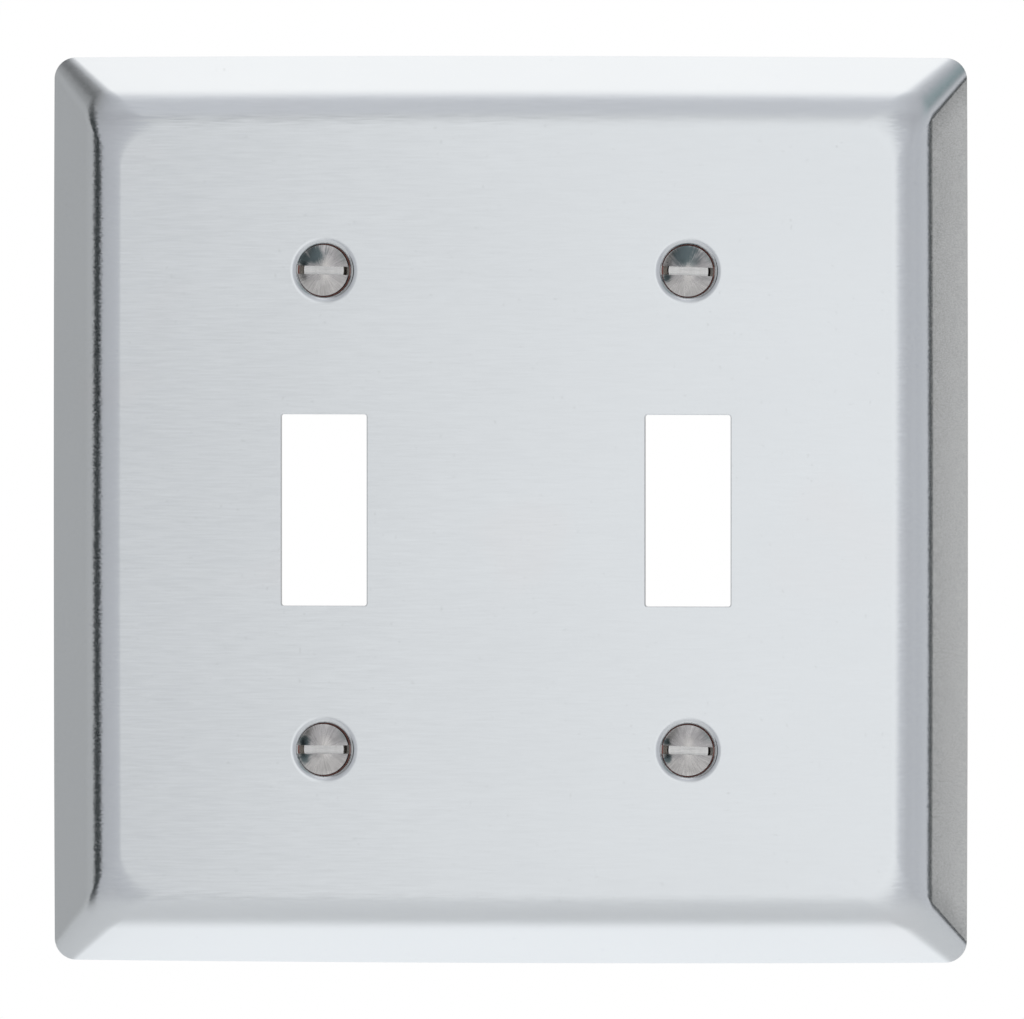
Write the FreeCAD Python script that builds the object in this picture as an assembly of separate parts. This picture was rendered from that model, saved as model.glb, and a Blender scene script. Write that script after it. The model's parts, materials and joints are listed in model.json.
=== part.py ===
import FreeCAD, Part
import math
import os

# Two-gang toggle switch wall plate, pressed from stainless sheet, with its four
# oval-head mounting screws.  Millimetres.  +Z is up, the front faces -Y, and the
# origin is the plate's centre in the plane of the wall that its rim rests on.
# Each piece is modelled lying on its back, heights counted from the wall, and is
# stood up as it is saved.

# Plate
plate_width = 115.8
plate_height = 114.3
plate_depth = 5.6
sheet = 0.8
rim_land = 0.4
bevel_angle = 40.0
bend_inside = 7.2
rim_corner = 2.75
face_corner = 8.0
side_bow = 0.13
end_bow = 0.25

# Toggle openings, at the standard spacing of two ganged switches
gang_pitch = 46.04
toggle_width = 10.8
toggle_height = 24.1
toggle_corner = 0.3

# Pressed countersinks around the screw holes
screw_pitch = 60.325
countersink_angle = 82.0
lip_margin = 0.95
lip_inside = 0.2
hole_clearance = 0.25

# Screws: 6-32, oval head, slotted, half an inch long
thread_diameter = 3.505
thread_pitch = 25.4 / 32
thread_angle = 60.0
screw_length = 12.7
neck_length = 0.7
tip_chamfer = 0.2
head_diameter = 6.4
head_edge = 0.1
head_oval = 0.85
head_clearance = 0.15
slot_width = 1.06
slot_depth = 1.75
slot_tilts = {"top_left": 1.5, "top_right": 2.0, "bottom_left": 0.0, "bottom_right": 2.0}

# Values that follow from the sizes above
bevel = math.radians(bevel_angle)
half_sink = math.radians(countersink_angle / 2)
half_thread = math.radians(thread_angle / 2)
bevel_rise = plate_depth - rim_land
corner_growth = (face_corner - rim_corner) / bevel_rise
head_radius = head_diameter / 2
thread_radius = thread_diameter / 2
hole_radius = thread_radius + hole_clearance
dimple_radius = head_radius + lip_margin
dimple_lip = lip_inside + sheet
thread_height = 0.5413 * thread_pitch
root_radius = thread_radius - thread_height
neck_radius = thread_radius - 0.6 * thread_height

ORIGIN = FreeCAD.Vector(0, 0, 0)
OUT = FreeCAD.Vector(0, 0, 1)
ACROSS = FreeCAD.Vector(1, 0, 0)


def vec(x, y, z):
    return FreeCAD.Vector(x, y, z)


def unit(x, y):
    size = math.hypot(x, y)
    return x / size, y / size


def corner_centre(side_c, side_reach, end_c, end_reach):
    """Where a circle about (side_c, 0) meets a circle about (0, end_c), in the first quarter."""
    apart = math.hypot(side_c, end_c)
    along = (side_reach ** 2 - end_reach ** 2 + apart ** 2) / (2 * apart)
    across = math.sqrt(side_reach ** 2 - along ** 2)
    ux, uy = -side_c / apart, end_c / apart
    return side_c + along * ux - across * uy, along * uy + across * ux


def outline(inset, corner, height):
    """Closed wire of the plate's plan at one height: four crowned sides, four round corners."""
    half_w = plate_width / 2 - inset
    half_h = plate_height / 2 - inset
    side_r = (half_h ** 2 + side_bow ** 2) / (2 * side_bow)
    end_r = (half_w ** 2 + end_bow ** 2) / (2 * end_bow)
    side_c = half_w - side_r
    end_c = half_h - end_r
    cx, cy = corner_centre(side_c, side_r - corner, end_c, end_r - corner)
    on_side = unit(cx - side_c, cy)
    on_end = unit(cx, cy - end_c)
    between = unit(on_side[0] + on_end[0], on_side[1] + on_end[1])
    ax, ay = cx + corner * on_side[0], cy + corner * on_side[1]
    mx, my = cx + corner * between[0], cy + corner * between[1]
    bx, by = cx + corner * on_end[0], cy + corner * on_end[1]
    stops = [(ax, -ay), (half_w, 0), (ax, ay), (mx, my), (bx, by), (0, half_h), (-bx, by), (-mx, my)]
    stops += [(-x, -y) for x, y in stops]
    points = [vec(x, y, height) for x, y in stops]
    points.append(points[0])
    arcs = [Part.Arc(*points[i:i + 3]).toShape() for i in range(0, 16, 2)]
    return Part.Wire(arcs)


def rolled_block(sections, radius):
    """Solid through plan sections, its top edge rolled over at one radius."""
    block = Part.makeLoft([outline(*section) for section in sections], True, True)
    height = sections[-1][2]
    top_edges = [e for e in block.Edges if min(v.Z for v in e.Vertexes) > height - 1e-6]
    return block.makeFillet(radius, top_edges)


def plate_outside():
    """Outer skin: an upright land at the rim, then the bevel up to the face."""
    run = bevel_rise / math.tan(bevel)
    rim = (0, rim_corner, 0)
    land = (0, rim_corner, rim_land)
    face = (run, face_corner, plate_depth)
    return rolled_block([rim, land, face], bend_inside + sheet)


def plate_inside():
    """The hollow behind the sheet, one sheet thickness inside the bevel all round."""
    inset = sheet / math.sin(bevel) - rim_land / math.tan(bevel)
    corner_run = math.sqrt(2) / math.tan(bevel) + corner_growth * (math.sqrt(2) - 1)
    corner_step = sheet * math.hypot(1, corner_run)
    thicker = (corner_step - math.sqrt(2) * sheet / math.sin(bevel)) / (math.sqrt(2) - 1)
    corner = rim_corner - corner_growth * rim_land + thicker
    height = plate_depth - sheet
    mouth = (inset, corner, 0)
    back = (inset + height / math.tan(bevel), corner + corner_growth * height, height)
    return rolled_block([mouth, back], bend_inside)


def toggle_cutter():
    """Prism of one toggle opening, with its small corner radii."""
    box = Part.makeBox(toggle_width, toggle_height, 3 * sheet)
    box.translate(vec(-toggle_width / 2, -toggle_height / 2, plate_depth - 2 * sheet))
    uprights = [e for e in box.Edges if abs(e.Vertexes[0].Z - e.Vertexes[1].Z) > sheet]
    return box.makeFillet(toggle_corner, uprights)


def rolled_point(radius, angle):
    """Point on the lip's bend, as distance from the hole's axis and height from the wall."""
    away = dimple_radius - radius * math.sin(angle)
    height = plate_depth - dimple_lip + radius * math.cos(angle)
    return vec(away, 0, height)


def cone_height(radius, away):
    """Height of the countersink's cone that leaves the lip at one bend radius."""
    start = rolled_point(radius, math.pi / 2 - half_sink)
    return start.z - (start.x - away) / math.tan(half_sink)


def dimple():
    """The pressed cup: flat face, rolled lip and countersink, down to the screw hole."""
    turn = math.pi / 2 - half_sink
    front = [rolled_point(dimple_lip, a) for a in (0, turn / 2, turn)]
    rear = [rolled_point(lip_inside, a) for a in (0, turn / 2, turn)]
    front_foot = vec(hole_radius, 0, cone_height(dimple_lip, hole_radius))
    rear_foot = vec(hole_radius, 0, cone_height(lip_inside, hole_radius))
    edges = [
        Part.Arc(*front).toShape(),
        Part.makeLine(front[2], front_foot),
        Part.makeLine(front_foot, rear_foot),
        Part.makeLine(rear_foot, rear[2]),
        Part.Arc(*reversed(rear)).toShape(),
        Part.makeLine(rear[0], front[0]),
    ]
    return Part.Face(Part.Wire(edges)).revolve(ORIGIN, OUT, 360)


def screw_places():
    """Name and centre of each screw."""
    x, y = gang_pitch / 2, screw_pitch / 2
    return {
        "top_left": (-x, y),
        "top_right": (x, y),
        "bottom_left": (-x, -y),
        "bottom_right": (x, -y),
    }


def plate():
    shell = plate_outside().cut(plate_inside())
    for side in (-1, 1):
        shell = shell.cut(toggle_cutter().translated(vec(side * gang_pitch / 2, 0, 0)))
    for x, y in screw_places().values():
        bore = Part.makeCylinder(dimple_radius, 3 * sheet, vec(x, y, plate_depth - 2 * sheet))
        shell = shell.cut(bore).fuse(dimple().translated(vec(x, y, 0)))
    return shell.removeSplitter()


def head_height():
    """Height of the head's widest edge from the wall, its cone clear of the countersink."""
    return cone_height(dimple_lip, head_radius) + head_clearance / math.sin(half_sink)


def thread_start():
    """Height of the thread's upper end, the head's widest edge being height 0."""
    cone_end = -(head_radius - neck_radius) / math.tan(half_sink)
    return cone_end - neck_length


def turned(points):
    """Solid turned about the screw's axis from a closed outline."""
    outline_wire = Part.makePolygon([vec(away, 0, height) for away, height in points + points[:1]])
    return Part.Face(outline_wire).revolve(ORIGIN, OUT, 360)


def head_and_neck():
    """Countersunk head with its oval top, and the neck that carries the thread."""
    top = head_edge + head_oval
    cap_radius = (head_radius ** 2 + head_oval ** 2) / (2 * head_oval)
    half_way = head_radius / 2
    half_top = top - cap_radius + math.sqrt(cap_radius ** 2 - half_way ** 2)
    foot = thread_start() - thread_pitch
    below = [
        vec(0, 0, top),
        vec(0, 0, foot),
        vec(root_radius - 0.1, 0, foot),
        vec(root_radius - 0.1, 0, thread_start()),
        vec(neck_radius, 0, thread_start()),
        vec(neck_radius, 0, thread_start() + neck_length),
        vec(head_radius, 0, 0),
        vec(head_radius, 0, head_edge),
    ]
    edges = [Part.makeLine(a, b) for a, b in zip(below, below[1:])]
    edges.append(Part.Arc(below[-1], vec(half_way, 0, half_top), below[0]).toShape())
    return Part.Face(Part.Wire(edges)).revolve(ORIGIN, OUT, 360)


def thread_ridge():
    """Right-hand helical ridge, a little taller than the thread and longer than the shank."""
    low = root_radius - 0.02
    high = thread_radius + 0.05
    crest = thread_pitch / 16 - (high - thread_radius) * math.tan(half_thread)
    foot = crest + (high - low) * math.tan(half_thread)
    corners = [vec(low, 0, -foot), vec(high, 0, -crest), vec(high, 0, crest), vec(low, 0, foot)]
    corners.append(corners[0])
    length = thread_start() + screw_length
    path = Part.Wire(Part.makeHelix(thread_pitch, length + 2 * thread_pitch, low))
    ridge = path.makePipeShell([Part.makePolygon(corners)], True, True)
    if ridge.Volume < 0:
        ridge.reverse()
    ridge.rotate(ORIGIN, OUT, 37)
    return ridge.translated(vec(0, 0, -screw_length - thread_pitch))


def threaded_shank():
    """Core and ridge, trimmed to the thread's diameter and chamfered at both ends."""
    start = thread_start()
    length = start + screw_length
    foot = vec(0, 0, -screw_length)
    core = Part.makeCylinder(root_radius, length, foot)
    ridge = thread_ridge().common(Part.makeCylinder(head_radius, length, foot))
    limit = Part.makeCylinder(thread_radius, length + 2, vec(0, 0, -screw_length - 1))
    shank = core.fuse(ridge).common(limit)
    inner = root_radius - tip_chamfer
    reach = head_radius - inner
    tip = turned([
        (inner, -screw_length),
        (inner, -screw_length - 1),
        (head_radius, -screw_length - 1),
        (head_radius, -screw_length + reach),
    ])
    shoulder = turned([
        (inner, start),
        (inner, start + 1),
        (head_radius, start + 1),
        (head_radius, start - reach),
    ])
    return shank.cut(tip).cut(shoulder)


def screw():
    slot = Part.makeBox(2 * head_diameter, slot_width, 2 * slot_depth)
    slot.translate(vec(-head_diameter, -slot_width / 2, head_edge + head_oval - slot_depth))
    return head_and_neck().fuse(threaded_shank()).cut(slot)


def save(name, shape):
    """Stand a piece up against the wall and write it as its own file."""
    body = shape.Solids[0]
    body.rotate(ORIGIN, ACROSS, 90)
    body.exportStep(os.path.join("parts", name + ".step"))


os.makedirs("parts", exist_ok=True)
save("plate", plate())
one_screw = screw()
for corner_name, (x, y) in screw_places().items():
    fitted = one_screw.copy()
    fitted.rotate(ORIGIN, OUT, -slot_tilts[corner_name])
    fitted.translate(vec(x, y, head_height()))
    save("screw_" + corner_name, fitted)
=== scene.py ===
"""Two-gang toggle switch wall plate in brushed stainless sheet, with its four screws.

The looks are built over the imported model.  Metres, +Z up, the front faces -Y.  The
plate and the screws are shaped lying on their backs, height above the wall along +Z,
and are stood up against the wall as the last step of their trees.
"""
import json
import logging
import math
from dataclasses import dataclass
from enum import Enum, IntEnum
from typing import Iterable, Union

import bpy
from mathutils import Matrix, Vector


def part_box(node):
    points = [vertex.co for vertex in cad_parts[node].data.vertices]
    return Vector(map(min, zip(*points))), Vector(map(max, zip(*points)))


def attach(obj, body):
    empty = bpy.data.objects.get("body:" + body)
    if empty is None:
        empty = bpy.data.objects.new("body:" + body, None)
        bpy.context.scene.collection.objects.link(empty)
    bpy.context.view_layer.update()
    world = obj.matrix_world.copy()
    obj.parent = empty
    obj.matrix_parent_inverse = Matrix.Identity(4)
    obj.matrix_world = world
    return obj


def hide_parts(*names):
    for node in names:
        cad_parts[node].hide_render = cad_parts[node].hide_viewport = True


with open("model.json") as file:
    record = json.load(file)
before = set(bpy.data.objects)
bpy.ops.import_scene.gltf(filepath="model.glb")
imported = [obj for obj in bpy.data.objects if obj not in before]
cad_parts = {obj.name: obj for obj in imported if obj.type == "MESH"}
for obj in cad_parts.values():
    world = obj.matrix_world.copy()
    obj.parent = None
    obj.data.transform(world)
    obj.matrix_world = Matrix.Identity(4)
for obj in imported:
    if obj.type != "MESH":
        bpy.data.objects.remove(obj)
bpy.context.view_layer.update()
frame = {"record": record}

MM = 0.001
WELD = 0.002 * MM
SHARP_EDGE = math.radians(28)
BEND_EASE = 1.6
HOLE_CLEARANCE = 0.25 * MM
log = logging.getLogger("wall_plate")

Socket = bpy.types.NodeSocket
Feed = Union[Socket, float, int, bool, str, tuple, bpy.types.Material]
Plan = tuple[float, float]
Colour = tuple[float, float, float, float]


class Part(IntEnum):
    """What each loose point of the plate's drawing belongs to."""

    FRONT_SKIN = 0
    REAR_SKIN = 1
    TOGGLE_EDGE = 2
    DIMPLE = 3
    TOGGLE_CENTRE = 4
    SCREW_CENTRE = 5


# --------------------------------------------------------------------------- node trees


class NodeMaker:
    """Short calls for filling a node tree."""

    def __init__(self, tree: bpy.types.NodeTree) -> None:
        """Work on a tree that already exists."""
        self.tree = tree

    def feed(self, socket: Socket, value: Feed) -> None:
        """Link a socket to another socket, or set its value."""
        if isinstance(value, Socket):
            self.tree.links.new(value, socket)
        else:
            socket.default_value = value

    def add(self, kind: str, feeds: dict[Union[str, int], Feed] | None = None,
            **settings: object) -> bpy.types.Node:
        """Add a node.

        Args:
            kind: the node's type name.
            feeds: input socket name or number, and what goes into it.
            settings: the node's own properties.

        Returns:
            The new node.
        """
        node = self.tree.nodes.new(kind)
        for name, value in settings.items():
            setattr(node, name, value)
        for key, value in (feeds or {}).items():
            self.feed(node.inputs[key], value)
        return node

    def math(self, operation: str, *terms: Feed) -> Socket:
        """Add a Math node and return its result."""
        node = self.tree.nodes.new("ShaderNodeMath")
        node.operation = operation
        for socket, term in zip(node.inputs, terms):
            self.feed(socket, term)
        return node.outputs[0]

    def vector(self, operation: str, *terms: Feed) -> Socket:
        """Add a Vector Math node and return its vector."""
        node = self.tree.nodes.new("ShaderNodeVectorMath")
        node.operation = operation
        for socket, term in zip(node.inputs, terms):
            self.feed(socket, term)
        return node.outputs["Vector"]

    def length(self, vector: Feed) -> Socket:
        """Return a vector's length."""
        return self.add("ShaderNodeVectorMath", {0: vector}, operation="LENGTH").outputs["Value"]

    def scale(self, vector: Feed, factor: Feed) -> Socket:
        """Scale a vector by a number."""
        return self.add("ShaderNodeVectorMath", {0: vector, "Scale": factor},
                        operation="SCALE").outputs["Vector"]

    def split(self, vector: Feed) -> list[Socket]:
        """Return a vector's three coordinates."""
        return list(self.add("ShaderNodeSeparateXYZ", {0: vector}).outputs)

    def combine(self, x: Feed, y: Feed, z: Feed) -> Socket:
        """Return a vector made of three coordinates."""
        return self.add("ShaderNodeCombineXYZ", {0: x, 1: y, 2: z}).outputs[0]

    def blend(self, factor: Feed, low: Feed, high: Feed) -> Socket:
        """Return low where factor is 0 and high where it is 1."""
        return self.math("ADD", low, self.math("MULTIPLY", factor,
                                               self.math("SUBTRACT", high, low)))

    def remap(self, value: Feed, low: float, high: float, to_low: float,
              to_high: float) -> Socket:
        """Map a range of values to another, clamped and eased."""
        return self.add("ShaderNodeMapRange", {"Value": value, "From Min": low, "From Max": high,
                                               "To Min": to_low, "To Max": to_high},
                        interpolation_type="SMOOTHSTEP").outputs[0]


class ShapeTree(NodeMaker):
    """A Geometry Nodes tree with named inputs and one mesh output."""

    def __init__(self, name: str, sockets: dict[str, str]) -> None:
        """Make the tree.

        Args:
            name: the tree's name.
            sockets: each input's name and socket type, after the geometry input.
        """
        super().__init__(bpy.data.node_groups.new(name, "GeometryNodeTree"))
        face = self.tree.interface
        face.new_socket("Geometry", in_out="OUTPUT", socket_type="NodeSocketGeometry")
        face.new_socket("Geometry", in_out="INPUT", socket_type="NodeSocketGeometry")
        for socket_name, kind in sockets.items():
            face.new_socket(socket_name, in_out="INPUT", socket_type="NodeSocket" + kind)
        self.source = self.tree.nodes.new("NodeGroupInput").outputs
        self.sink = self.tree.nodes.new("NodeGroupOutput")

    def finish(self, geometry: Socket) -> bpy.types.NodeTree:
        """Send the geometry to the tree's output and return the tree."""
        self.tree.links.new(geometry, self.sink.inputs["Geometry"])
        return self.tree

    def geometry(self, kind: str, geometry: Feed, feeds: dict[Union[str, int], Feed] | None = None,
                 **settings: object) -> Socket:
        """Add a node whose first input is a geometry, and return its first output."""
        node = self.add(kind, feeds, **settings)
        self.feed(node.inputs[0], geometry)
        return node.outputs[0]

    def named(self, attribute: str, kind: str = "FLOAT") -> Socket:
        """Read a named attribute."""
        node = self.add("GeometryNodeInputNamedAttribute", {"Name": attribute}, data_type=kind)
        return next(s for s in node.outputs if s.enabled and s.name == "Attribute")

    def store(self, geometry: Feed, attribute: str, value: Feed, kind: str = "FLOAT",
              domain: str = "POINT") -> Socket:
        """Store a named attribute."""
        node = self.add("GeometryNodeStoreNamedAttribute", data_type=kind, domain=domain)
        self.feed(node.inputs["Geometry"], geometry)
        self.feed(node.inputs["Name"], attribute)
        self.feed(next(s for s in node.inputs if s.enabled and s.name == "Value"), value)
        return node.outputs["Geometry"]

    def sample(self, geometry: Feed, value: Feed, index: Feed,
               kind: str = "FLOAT_VECTOR") -> Socket:
        """Read a value of another geometry's points at an index."""
        node = self.add("GeometryNodeSampleIndex", data_type=kind, domain="POINT")
        self.feed(node.inputs["Geometry"], geometry)
        self.feed(next(s for s in node.inputs if s.enabled and s.name == "Value"), value)
        self.feed(node.inputs["Index"], index)
        return next(s for s in node.outputs if s.enabled)

    def join(self, geometries: Iterable[Socket]) -> Socket:
        """Join several geometries."""
        node = self.tree.nodes.new("GeometryNodeJoinGeometry")
        for geometry in geometries:
            self.tree.links.new(geometry, node.inputs[0])
        return node.outputs[0]

    def call(self, group: bpy.types.NodeTree, geometry: Feed,
             feeds: dict[str, Feed]) -> Socket:
        """Use another tree as a node, and return its geometry."""
        node = self.add("GeometryNodeGroup", node_tree=group)
        self.feed(node.inputs[0], geometry)
        for key, value in feeds.items():
            self.feed(node.inputs[key], value)
        return node.outputs[0]

    def position(self) -> Socket:
        """Read the position."""
        return self.add("GeometryNodeInputPosition").outputs[0]

    def lattice(self, around: Feed, along: Feed) -> tuple[Socket, ...]:
        """Make a flat lattice of points to be bent into a skin.

        Args:
            around: how many steps go round.
            along: how many points go along.

        Returns:
            The mesh, each point's step round, and its place along.
        """
        columns = self.math("ADD", around, 1)
        mesh = self.add("GeometryNodeMeshGrid", {"Vertices X": columns, "Vertices Y": along})
        index = self.add("GeometryNodeInputIndex").outputs[0]
        column = self.math("FLOOR", self.math("DIVIDE", index, along))
        row = self.math("SUBTRACT", index, self.math("MULTIPLY", column, along))
        return mesh.outputs[0], column, row

    def crisp(self, geometry: Feed) -> Socket:
        """Shade smooth everywhere but at sharp edges."""
        bend = self.add("GeometryNodeInputMeshEdgeAngle").outputs["Unsigned Angle"]
        soft = self.add("FunctionNodeCompare", {0: bend, 1: SHARP_EDGE},
                        operation="LESS_THAN").outputs[0]
        return self.geometry("GeometryNodeSetShadeSmooth", geometry,
                             {"Shade Smooth": soft}, domain="EDGE")

    def weld(self, geometry: Feed) -> Socket:
        """Make one point of those that lie together."""
        return self.geometry("GeometryNodeMergeByDistance", geometry, {"Distance": WELD})

    def dress(self, geometry: Feed, finish: Feed, marked: str, other: Feed) -> bpy.types.NodeTree:
        """Stand a piece up against the wall, give it its finishes and end the tree.

        Args:
            geometry: the piece, lying on its back.
            finish: its main finish.
            marked: attribute that marks the faces with the other finish.
            other: the other finish.

        Returns:
            The tree.
        """
        upright = self.geometry("GeometryNodeTransform", geometry,
                                {"Rotation": (math.pi / 2, 0, 0)})
        real = self.geometry("GeometryNodeRealizeInstances", upright)
        dressed = self.geometry("GeometryNodeSetMaterial", real, {"Material": finish})
        return self.finish(self.geometry("GeometryNodeSetMaterial", dressed, {
            "Selection": self.named(marked, "BOOLEAN"), "Material": other}))


def turned_tree() -> bpy.types.NodeTree:
    """Tree that turns a profile of points round an axis, with a helix where it is threaded.

    Returns:
        The tree.  Its points are (distance from the axis, 0, height), each with a
        "threaded" weight, in order from the foot to the top.
    """
    t = ShapeTree("turned skin", {"Steps": "Int", "Pitch": "Float", "Thread Foot": "Float",
                                  "Thread Top": "Float", "End Radius": "Float"})
    profile, steps, pitch, foot, top, end_radius = list(t.source)[:6]
    size = t.add("GeometryNodeAttributeDomainSize", component="MESH")
    t.feed(size.inputs[0], profile)
    mesh, column, row = t.lattice(steps, size.outputs["Point Count"])
    away, _, height = t.split(t.sample(profile, t.position(), row))
    threaded = t.sample(profile, t.named("threaded"), row, "FLOAT")
    share = t.math("DIVIDE", column, steps)
    climbed = t.math("ADD", height, t.math("MULTIPLY", share, pitch))
    held = t.math("MAXIMUM", foot, t.math("MINIMUM", top, climbed))
    from_foot = t.math("ADD", end_radius, t.math("SUBTRACT", held, foot))
    from_top = t.math("ADD", end_radius, t.math("SUBTRACT", top, held))
    trimmed = t.math("MINIMUM", away, t.math("MINIMUM", from_foot, from_top))
    radius = t.blend(threaded, away, trimmed)
    angle = t.math("MULTIPLY", share, math.tau)
    place = t.combine(t.math("MULTIPLY", radius, t.math("COSINE", angle)),
                      t.math("MULTIPLY", radius, t.math("SINE", angle)),
                      t.blend(threaded, height, held))
    skin = t.geometry("GeometryNodeSetPosition", mesh, {"Position": place})
    return t.finish(t.weld(skin))


def rolled_tree() -> bpy.types.NodeTree:
    """Tree that rolls the edge of a flat sheet over and carries it down a straight bevel.

    Returns:
        The tree.  Each station is a point on the flat's edge, with "span" to the rim.
        Every level between them is a plan of its own, so corners open out smoothly.
    """
    t = ShapeTree("rolled skin", {"Foot Height": "Float", "Land Height": "Float",
                                  "Face Height": "Float", "Bevel": "Float", "Run": "Float",
                                  "Bend Radius": "Float", "Thickness": "Float",
                                  "Bend Steps": "Int"})
    (ring, foot_height, land_height, face_height, slope, run, radius, thickness,
     bend_steps) = list(t.source)[:9]
    size = t.add("GeometryNodeAttributeDomainSize", component="MESH")
    t.feed(size.inputs[0], ring)
    count = size.outputs["Point Count"]
    mesh, column, row = t.lattice(count, t.math("ADD", bend_steps, 4))
    station = t.math("MODULO", column, count)
    edge = t.sample(ring, t.position(), station)
    span = t.sample(ring, t.named("span", "FLOAT_VECTOR"), station)
    inner = t.math("SUBTRACT", radius, thickness)
    pivot = t.math("SUBTRACT", face_height, radius)
    start = t.math("ADD", pivot, t.math("MULTIPLY", inner, t.math("COSINE", slope)))
    fall = t.math("DIVIDE", t.math("MULTIPLY", t.math("SUBTRACT", start, land_height),
                                   t.math("COSINE", slope)), t.math("SINE", slope))
    landing = t.math("ADD", fall, t.math("MULTIPLY", inner, t.math("SINE", slope)))
    left = t.math("DIVIDE", t.math("SUBTRACT", t.math("ADD", bend_steps, 3), row), bend_steps)
    angle = t.math("MULTIPLY", slope, t.math("POWER", t.math("MINIMUM", 1.0, left), BEND_EASE))
    is_bend = t.math("GREATER_THAN", row, 2.5)
    is_land = t.math("GREATER_THAN", row, 1.5)
    is_lead = t.math("MULTIPLY", t.math("LESS_THAN", row, 0.5),
                     t.math("GREATER_THAN", thickness, 0.0))
    away = t.blend(is_bend, t.blend(is_lead, landing, run),
                   t.math("MULTIPLY", inner, t.math("SINE", angle)))
    height = t.blend(is_bend, t.blend(is_land, foot_height, land_height),
                     t.math("ADD", pivot, t.math("MULTIPLY", inner, t.math("COSINE", angle))))
    place = t.vector("ADD", t.vector("ADD", edge, t.scale(span, t.math("DIVIDE", away, run))),
                     t.combine(0.0, 0.0, height))
    bent = t.math("DIVIDE", angle, slope)
    fading = t.math("MULTIPLY", bent, t.math("MULTIPLY", 4.0, t.math("SUBTRACT", 1.0, bent)))
    marked = t.store(t.store(mesh, "row", row), "stretched",
                     t.math("MULTIPLY", is_bend, fading))
    skin = t.geometry("GeometryNodeSetPosition", marked, {"Position": place})
    cut = t.math("LESS_THAN", t.named("row"), 2.0)
    return t.finish(t.store(skin, "sheared", cut, "BOOLEAN", "FACE"))


# --------------------------------------------------------------------------- finishes


class Shader(NodeMaker):
    """A material's node tree round one Principled shader."""

    def __init__(self, name: str) -> None:
        """Make the material and its shader."""
        self.material = bpy.data.materials.new(name)
        self.material.use_nodes = True
        super().__init__(self.material.node_tree)
        self.skin = self.tree.nodes["Principled BSDF"]

    def set(self, **sockets: Feed) -> None:
        """Set or link the shader's own sockets, underscores standing for spaces."""
        for name, value in sockets.items():
            self.feed(self.skin.inputs[name.replace("_", " ")], value)

    def noise(self, place: Feed, scale: tuple[float, float, float], detail: float = 2.0,
              offset: tuple[float, float, float] = (0, 0, 0)) -> Socket:
        """Sample noise on stretched coordinates.

        Args:
            place: the coordinates.
            scale: lumps for each metre, or unit of the coordinates, along each axis.
            detail: how many finer layers are added.
            offset: moves the pattern.

        Returns:
            Values round 0.5.
        """
        mapped = self.add("ShaderNodeMapping", {"Vector": place, "Scale": scale,
                                                "Location": offset})
        return self.add("ShaderNodeTexNoise", {"Vector": mapped.outputs[0], "Scale": 1.0,
                                               "Detail": detail}).outputs[0]

    def attribute(self, name: str, output: str = "Vector") -> Socket:
        """Read a named attribute of the piece."""
        return self.add("ShaderNodeAttribute", attribute_name=name).outputs[output]

    def tone(self, colour: Feed, factor: Feed) -> Socket:
        """Make a colour lighter or darker by a factor."""
        return self.scale(colour[:3] if isinstance(colour, tuple) else colour, factor)

    def mix(self, factor: Feed, first: Feed, second: Feed) -> Socket:
        """Mix two colours."""
        node = self.add("ShaderNodeMix", data_type="RGBA")
        colours = [s for s in node.inputs if s.type == "RGBA"]
        self.feed(node.inputs["Factor"], factor)
        self.feed(colours[0], first)
        self.feed(colours[1], second)
        return next(s for s in node.outputs if s.type == "RGBA")

    def bump(self, height: Feed, distance: float,
             normal: Feed | None = None) -> Socket:
        """Turn a height field into a surface direction, over another direction if given."""
        feeds = {"Height": height, "Distance": distance, "Strength": 1.0}
        if normal is not None:
            feeds["Normal"] = normal
        return self.add("ShaderNodeBump", feeds).outputs[0]


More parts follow.
